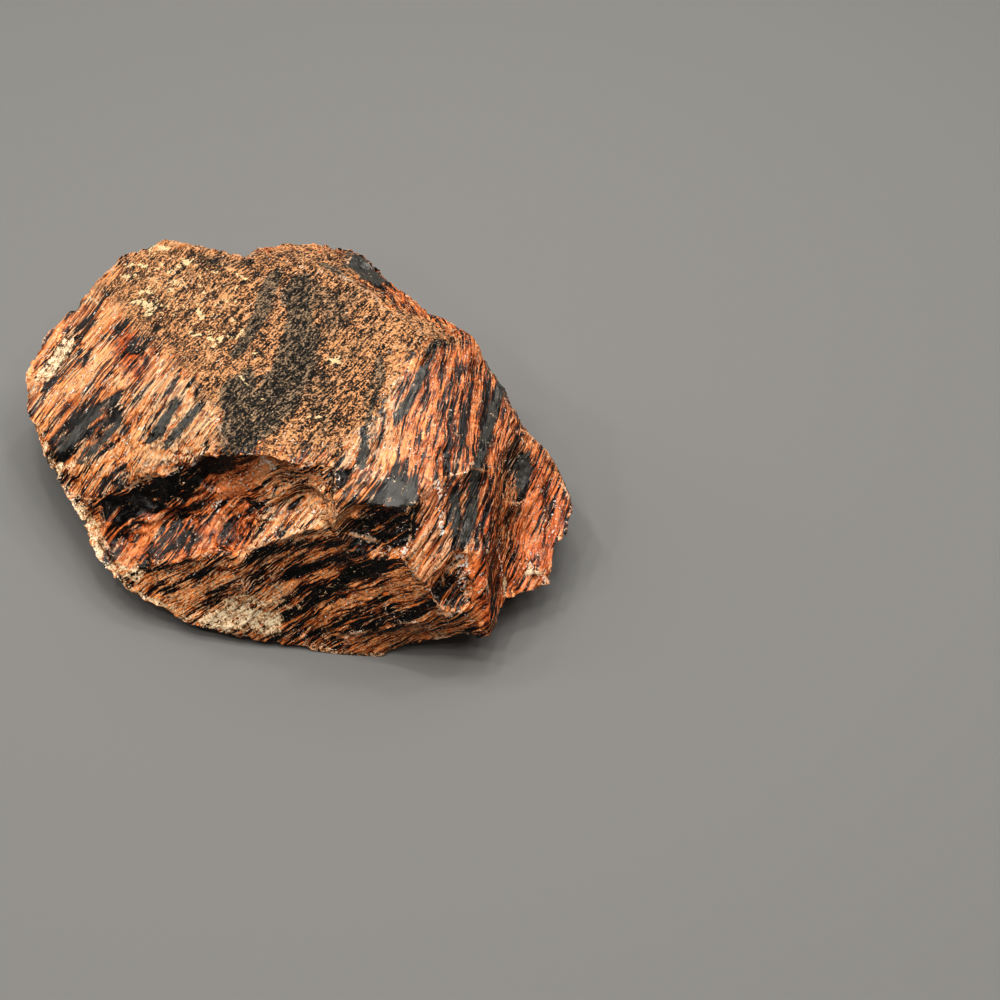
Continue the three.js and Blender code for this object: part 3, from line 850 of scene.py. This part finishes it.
# The material's noises. Sizes are in mm along the lineation, sideways and across the sheets.
noises = {
    # name: size, detail, roughness
    "broad": ((70, 28, 5.0), 2.0, 0.5),       # bands
    "middle": ((38, 11, 1.5), 3.0, 0.6),
    "fine": ((17, 7.0, 0.72), 2.0, 0.6),
    "line": ((12, 6.0, 0.48), 2.0, 0.6),      # threads, where the sheets are cut across
    "fibre": ((14, 0.8, 0.8), 2.0, 0.6),      # threads, where a sheet is laid open
    "hairCut": ((14, 6.0, 1.1), 1.0, 0.4),    # black hairlines, in the same two cases
    "hairOpen": ((30, 1.9, 1.9), 1.0, 0.4),
    "dash": ((2.6, 0.9, 0.62), 1.0, 0.5),     # short black dashes, and white nicks with painted glints
    "tint": ((26, 1.2, 0.55), 2.0, 0.6),      # tan lines
    "mottle": ((4.5, 3.0, 1.6), 3.0, 0.7),
    "tangle": ((24, 7.0, 3.2), 1.0, 0.5),     # groups of threads, with plain glass between them
    "speck": ((0.8, 0.8, 0.8), 3.0, 0.7),     # grains, which have no direction
    "crumb": ((2.6, 2.6, 2.6), 4.0, 0.7),
    "blotch": ((8, 8, 8), 4.0, 0.65),
}
undirected = ["speck", "crumb", "blotch"]
painted = [
    "weathered", "tone", "red", "tan", "paintedSheen", "sparkle", "laidOpen", "chalk", "nicksAndPaintedGlints", "residue", "crush",
]

# Slow bends of the sheets: the noise's scale, its detail and how far it can move them, in metres
bends = {"scale": 30.0, "detail": 1.0, "reach": (0.006, 0.007, 0.0045)}

# What each marking is mixed from, by weight, and the middle that it varies round
mixes = {
    "bands": ({"broad": 1.0, "middle": 1.5, "fine": 1.2}, 0.57),
    "shine": ({"thread": 1.6, "speck": 1.9}, 1.04),
    "dash": ({"dash": 1.0, "blotch": 0.35}, 0.5),
    "paintedReflection": ({"paintedSheen": 0.8, "thread": 1.5, "crumb": 0.7, "tint": -0.9}, 0.5),
    "paintedReflectionColour": ({"crumb": 1.0, "fine": 0.8}, 0.5),
    "grains": ({
        "speck": 3.0, "crumb": 1.0, "mottle": 1.2, "fibre": 2.1, "blotch": 0.6, "broad": 0.5,
    }, 0.56),
    "worn": ({"crumb": 1.2, "fibre": 1.3, "weathered": 1.0}, 0.5),
    "crushed": ({"speck": 1.2, "crumb": 1.2, "wear": 0.55}, 0.60),
    "nicksAndPaintedGlints": ({"speck": 2.2, "dash": 2.1, "sparkle": 0.20, "wear": 0.2, "paintedSheen": -0.4}, 0.03),
    "dust": ({"crumb": 2.6, "fine": 1.0, "speck": 1.0, "chalk": 0.75}, 0.44),
    "chalky": ({"speck": 3.0, "crumb": 2.4, "chalk": 0.80}, 0.26),
    "flaky": ({"crumb": 2.2, "speck": 0.8, "residue": 0.9}, 0.30),
    "glow": ({"blotch": 1.0, "fine": 0.6}, 0.5),
    "splinter": ({"crumb": 1.2, "thread": 0.8, "wear": 0.25, "sparkle": 0.7}, 0.86),
    "glassRelief": ({"fine": 1.0, "thread": 1.1, "speck": 0.35}, 0.0),
    "wornRelief": ({"speck": 4.5, "crumb": 5.0}, 0.0),
}

# Where each marking sets in, and where it is full
steps = {
    "hair": (0.010, 0.032), "tangle": (0.42, 0.58), "lit": (0.36, 0.46), "tanLine": (0.56, 0.62),
    "dash": (0.60, 0.645), "paintedReflection": (0.50, 0.56), "ashen": (0.2, 0.9), "worn": (0.42, 0.54),
    "wear": (0.47, 0.58), "crushed": (0.66, 0.82), "nicksAndPaintedGlints": (0.62, 0.66), "dust": (0.40, 0.66),
    "chalky": (0.46, 0.74), "flaky": (0.58, 0.64), "thinEdge": (0.72, 0.98), "glow": (0.42, 0.56),
    "splinter": (0.46, 0.72), "quiet": (0.3, 1.1),
}

# How strongly each marking shows, and how far the painted values shift it
amounts = {
    "gathered": 2.1, "loose": 0.3,              # threads inside their groups, and everywhere
    "toneOnBands": -0.26, "toneOnGrains": -0.165, "hairOnGrains": -0.10, "toneOnNicksAndGlints": -0.14,
    "tanPainted": 0.11, "tanLine": 0.75,
    "gatheredHair": 0.7, "looseHair": 0.3, "hairInk": 0.75, "dashInk": 0.85, "ink": -0.85,
    "darkest": 0.12,                            # no thread is darker than this share
    "ashen": 0.75, "crushed": 0.7, "nicksAndGlintsPainted": 0.45, "nicksAndPaintedGlints": 0.85, "dust": 0.8, "chalk": 0.85,
    "glow": 0.5, "glowWorn": -0.3,
}

# Gloss and relief
finish = {
    "roughness": 0.08, "litRoughness": 0.10, "wornRoughness": 0.40, "dullRoughness": 0.35, "ior": 1.5,
    "bumpStrength": 0.9, "bumpHeight": 0.45 * mm,
    "splinterSize": 0.75 * mm, "splinterTilt": 0.9,
    "splinterDark": -0.75, "splinterWorn": -0.8, "sparkleOnDark": -1.5,
}

glass = {
    "black": (0.006, 0.0055, 0.0055),
    "darkRed": (0.050, 0.013, 0.005),
    "mahogany": (0.190, 0.048, 0.014),
    "orange": (0.50, 0.155, 0.034),
    "salmon": (0.76, 0.335, 0.135),
    "tanLine": (0.66, 0.470, 0.300),
    "pitch": (0.012, 0.010, 0.008),
    "slate": (0.070, 0.059, 0.045),
    "olive": (0.165, 0.095, 0.045),
    "rust": (0.350, 0.142, 0.056),
    "sand": (0.880, 0.485, 0.240),
    "ash": (0.150, 0.125, 0.092),
    "paleAsh": (0.330, 0.265, 0.185),
    # white of the crushed nicks and of the painted glints
    "nicksAndPaintedGlints": (0.90, 0.85, 0.80),
    "dust": (0.560, 0.350, 0.190),
    "crushed": (0.720, 0.560, 0.440),
    "chalk": (0.920, 0.770, 0.560),
    # painted reflection of the ceiling on flat black glass
    "paintedSheen": (0.062, 0.060, 0.055),
    "residue": (0.940, 0.740, 0.450),
    # painted glow on thin edges
    "edge": (0.80, 0.36, 0.13),
    "redTint": (0.88, 0.54, 0.36),
}

# Where each colour stands on the way from dark to light
ramps = {
    "glass": [(0.34, "black"), (0.42, "darkRed"), (0.51, "mahogany"), (0.64, "orange"), (0.86, "salmon")],
    "paintedReflection": [(0.25, "black"), (0.42, "paintedSheen")],
    "worn": [(0.30, "pitch"), (0.40, "slate"), (0.47, "olive"), (0.57, "rust"), (0.82, "sand")],
    "ashen": [(0.22, "pitch"), (0.30, "slate"), (0.42, "ash"), (0.62, "paleAsh")],
}


# A small helper keeps the node graph short. Its patterns are the named noises, painted values and masks.
class Graph:
    def __init__(self, name):
        self.material = bpy.data.materials.new(name)
        self.material.use_nodes = True
        self.nodes = self.material.node_tree.nodes
        self.links = self.material.node_tree.links
        self.shader = self.nodes["Principled BSDF"]
        self.patterns = {}

    def put(self, target, value):
        if isinstance(value, bpy.types.NodeSocket):
            self.links.new(value, target)
        elif isinstance(value, str):
            target.default_value = (*glass[value], 1)
        else:
            target.default_value = value

    def node(self, kind, settings=None, **inputs):
        made = self.nodes.new("ShaderNode" + kind)
        for key, value in (settings or {}).items():
            setattr(made, key, value)
        for key, value in inputs.items():
            self.put(made.inputs[key], value)
        return made

    def sums(self, operation, *values, clamp=False):
        made = self.node("Math", {"operation": operation, "use_clamp": clamp})
        for index, value in enumerate(values):
            self.put(made.inputs[index], value)
        return made.outputs[0]

    def vector(self, operation, *values):
        made = self.node("VectorMath", {"operation": operation})
        for index, value in enumerate(values):
            self.put(made.inputs[index], value)
        return made.outputs[0]

    def scaled(self, value, amount):
        made = self.node("VectorMath", {"operation": "SCALE"}, Scale=amount)
        self.put(made.inputs[0], value)
        return made.outputs[0]

    def noise(self, name, place):
        size, detail, rough = noises[name]
        cells = self.vector("DIVIDE", place, [part * mm for part in size])
        made = self.node("TexNoise", None, Vector=cells, Scale=1.0, Detail=detail, Roughness=rough)
        return made.outputs["Fac"]

    def mix(self, name):
        # patterns of mean 0.5, each with its own weight, round a new middle
        weights, total = mixes[name]
        for part, weight in weights.items():
            offset = self.sums("MULTIPLY_ADD", self.patterns[part], weight, -0.5 * weight)
            total = self.sums("ADD", offset, total)
        return total

    def step(self, value, name):
        # 0 where the marking sets in, 1 where it is full, smooth between
        low, high = steps[name]
        made = self.node("MapRange", {"interpolation_type": "SMOOTHSTEP"})
        self.put(made.inputs["Value"], value)
        made.inputs["From Min"].default_value = low
        made.inputs["From Max"].default_value = high
        return made.outputs["Result"]

    def mask(self, name):
        self.patterns[name] = self.step(self.mix(name), name)
        return self.patterns[name]

    def between(self, amount, first, second):
        made = self.node("Mix", {"data_type": "FLOAT"})
        for index, value in ((0, amount), (2, first), (3, second)):
            self.put(made.inputs[index], value)
        return made.outputs[0]

    def blend(self, amount, first, second, way="MIX"):
        made = self.node("Mix", {"data_type": "RGBA", "blend_type": way})
        for index, value in ((0, amount), (6, first), (7, second)):
            self.put(made.inputs[index], value)
        return made.outputs[2]

    def colours(self, value, name):
        made = self.node("ValToRGB", None, Fac=value)
        elements = made.color_ramp.elements
        while len(elements) < len(ramps[name]):
            elements.new(0.5)
        for element, (position, colour) in zip(elements, ramps[name]):
            element.position = position
            element.color = (*glass[colour], 1)
        return made.outputs["Color"]


def layPatterns(g, place):
    # bends the sheets, then names every noise and painted value
    turned = g.node("Mapping", None, Vector=place)
    turned.inputs["Rotation"].default_value = flow["turn"].to_euler("XYZ")
    drift = g.node("TexNoise", None, Vector=place, Scale=bends["scale"], Detail=bends["detail"])
    centred = g.vector("SUBTRACT", drift.outputs["Color"], (0.5, 0.5, 0.5))
    sheets = g.vector("MULTIPLY_ADD", centred, bends["reach"], turned.outputs[0])
    own = g.patterns
    for name in noises:
        own[name] = g.noise(name, place if name in undirected else sheets)
    for name in painted:
        own[name] = g.node("Attribute", {"attribute_name": name}).outputs["Fac"]
    own["thread"] = g.between(own["laidOpen"], own["line"], own["fibre"])
    own["tangle"] = g.step(own["tangle"], "tangle")
    own["wear"] = g.sums("MULTIPLY", own["crush"], g.step(own["blotch"], "wear"))
    # a hairline runs where a long noise crosses its mean
    drawn = g.between(own["laidOpen"], own["hairCut"], own["hairOpen"])
    crossing = g.sums("ABSOLUTE", g.sums("SUBTRACT", drawn, 0.5))
    own["hair"] = g.sums("SUBTRACT", 1.0, g.step(crossing, "hair"))


def glassColour(g):
    # the bands: 0 is black glass and 1 the lightest mahogany
    own = g.patterns
    gathered = g.sums("MULTIPLY_ADD", own["tangle"], amounts["gathered"], amounts["loose"])
    threads = g.sums("MULTIPLY", g.sums("SUBTRACT", own["thread"], 0.5), gathered)
    bands = g.sums("ADD", g.mix("bands"), threads)
    bands = g.sums("MULTIPLY_ADD", own["tone"], amounts["toneOnBands"], bands)
    colour = g.colours(bands, "glass")
    own["lit"] = g.step(bands, "lit")
    tanned = g.step(g.sums("MULTIPLY_ADD", own["tan"], amounts["tanPainted"], own["tint"]), "tanLine")
    tanned = g.sums("MULTIPLY", tanned, g.sums("MULTIPLY", own["lit"], amounts["tanLine"]))
    colour = g.blend(tanned, colour, "tanLine")
    colour = g.blend(own["red"], colour, "redTint", "MULTIPLY")
    # fine light and dark threads, broken by black hairlines and short dashes
    hair = g.sums("MULTIPLY_ADD", own["tangle"], amounts["gatheredHair"], amounts["looseHair"])
    hair = g.sums("MULTIPLY", g.sums("MULTIPLY", own["hair"], hair), amounts["hairInk"])
    dashes = g.sums("MULTIPLY", g.step(g.mix("dash"), "dash"), amounts["dashInk"])
    inked = g.sums("MULTIPLY_ADD", g.sums("MAXIMUM", hair, dashes), amounts["ink"], 1.0)
    shine = g.sums("MAXIMUM", g.sums("MULTIPLY", g.mix("shine"), inked), amounts["darkest"])
    colour = g.scaled(colour, shine)
    # flat panes of smooth black glass, painted grey as a painted reflection of the ceiling
    return g.blend(g.mask("paintedReflection"), colour, g.colours(g.mix("paintedReflectionColour"), "paintedReflection"))


def wornColour(g):
    # the weathered skin: the same bands, dulled and broken into grains
    own = g.patterns
    grains = g.sums("MULTIPLY_ADD", own["tone"], amounts["toneOnGrains"], g.mix("grains"))
    grains = g.sums("MULTIPLY_ADD", own["hair"], amounts["hairOnGrains"], grains)
    ashen = g.sums("MULTIPLY", g.step(own["tone"], "ashen"), amounts["ashen"])
    return g.blend(ashen, g.colours(grains, "worn"), g.colours(grains, "ashen"))


def addMarks(g, colour):
    # crushed edges, white nicks with painted glints, dust, chalky scars and the cream residue
    own = g.patterns
    own["crushed"] = g.sums("MULTIPLY", g.mask("crushed"), amounts["crushed"])
    colour = g.blend(own["crushed"], colour, "crushed")
    # white nicks: partly crushed glass, partly painted glints
    nicksAndGlintsMask = g.sums("MULTIPLY_ADD", own["nicksAndPaintedGlints"], amounts["nicksAndGlintsPainted"], g.mix("nicksAndPaintedGlints"))
    nicksAndGlintsMask = g.step(g.sums("MULTIPLY_ADD", own["tone"], amounts["toneOnNicksAndGlints"], nicksAndGlintsMask), "nicksAndPaintedGlints")
    colour = g.blend(g.sums("MULTIPLY", nicksAndGlintsMask, amounts["nicksAndPaintedGlints"]), colour, "nicksAndPaintedGlints")
    colour = g.blend(g.sums("MULTIPLY", g.mask("dust"), amounts["dust"]), colour, "dust")
    colour = g.blend(g.sums("MULTIPLY", g.mask("chalky"), amounts["chalk"]), colour, "chalk")
    colour = g.blend(g.mask("flaky"), colour, "residue")
    # painted glow: thin edges are coloured as if light shone through them
    thin = g.sums("MULTIPLY", g.step(own["crush"], "thinEdge"), g.mask("glow"))
    glow = g.sums("MULTIPLY_ADD", own["worn"], amounts["glowWorn"], amounts["glow"])
    return g.blend(g.sums("MULTIPLY", thin, glow), colour, "edge")


def roughness(g):
    own = g.patterns
    dull = g.sums("MAXIMUM", g.sums("MAXIMUM", own["crushed"], own["chalky"]), own["flaky"])
    rough = g.sums("MULTIPLY_ADD", own["lit"], finish["litRoughness"], finish["roughness"])
    rough = g.sums("MULTIPLY_ADD", own["worn"], finish["wornRoughness"], rough)
    return g.sums("MULTIPLY_ADD", dull, finish["dullRoughness"], rough, clamp=True)


def surfaceNormal(g, place):
    # the fine relief, and splintery places with tiny facets that glint one by one
    own = g.patterns
    height = g.between(own["worn"], g.mix("glassRelief"), g.mix("wornRelief"))
    bump = g.node("Bump", None, Height=height)
    bump.inputs["Strength"].default_value = finish["bumpStrength"]
    bump.inputs["Distance"].default_value = finish["bumpHeight"]
    cells = g.vector("DIVIDE", place, (finish["splinterSize"],) * 3)
    facets = g.node("TexVoronoi", None, Vector=cells, Scale=1.0)
    tilt = g.vector("SUBTRACT", facets.outputs["Color"], (0.5, 0.5, 0.5))
    dark = g.step(g.sums("MULTIPLY_ADD", own["sparkle"], finish["sparkleOnDark"], own["tone"]), "quiet")
    splinter = g.sums("MULTIPLY", g.mask("splinter"), g.sums("SUBTRACT", 1.0, own["paintedReflection"]))
    for cover, amount in ((dark, finish["splinterDark"]), (own["worn"], finish["splinterWorn"])):
        splinter = g.sums("MULTIPLY", splinter, g.sums("MULTIPLY_ADD", cover, amount, 1.0))
    tilted = g.scaled(tilt, g.sums("MULTIPLY", splinter, finish["splinterTilt"]))
    return g.vector("NORMALIZE", g.vector("ADD", bump.outputs["Normal"], tilted))


def obsidianMaterial():
    g = Graph("mahoganyObsidian")
    place = g.node("TexCoord").outputs["Object"]
    layPatterns(g, place)
    colour = g.blend(g.mask("worn"), glassColour(g), wornColour(g))
    g.put(g.shader.inputs["Base Color"], addMarks(g, colour))
    g.put(g.shader.inputs["Roughness"], roughness(g))
    g.put(g.shader.inputs["Normal"], surfaceNormal(g, place))
    g.shader.inputs["IOR"].default_value = finish["ior"]
    return g.material


mesh.materials.append(obsidianMaterial())
stone = bpy.data.objects.new("stoneSkin", mesh)
bpy.context.scene.collection.objects.link(stone)
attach(stone, "root")
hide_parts("obsidian_stone")
report("stone dressed")
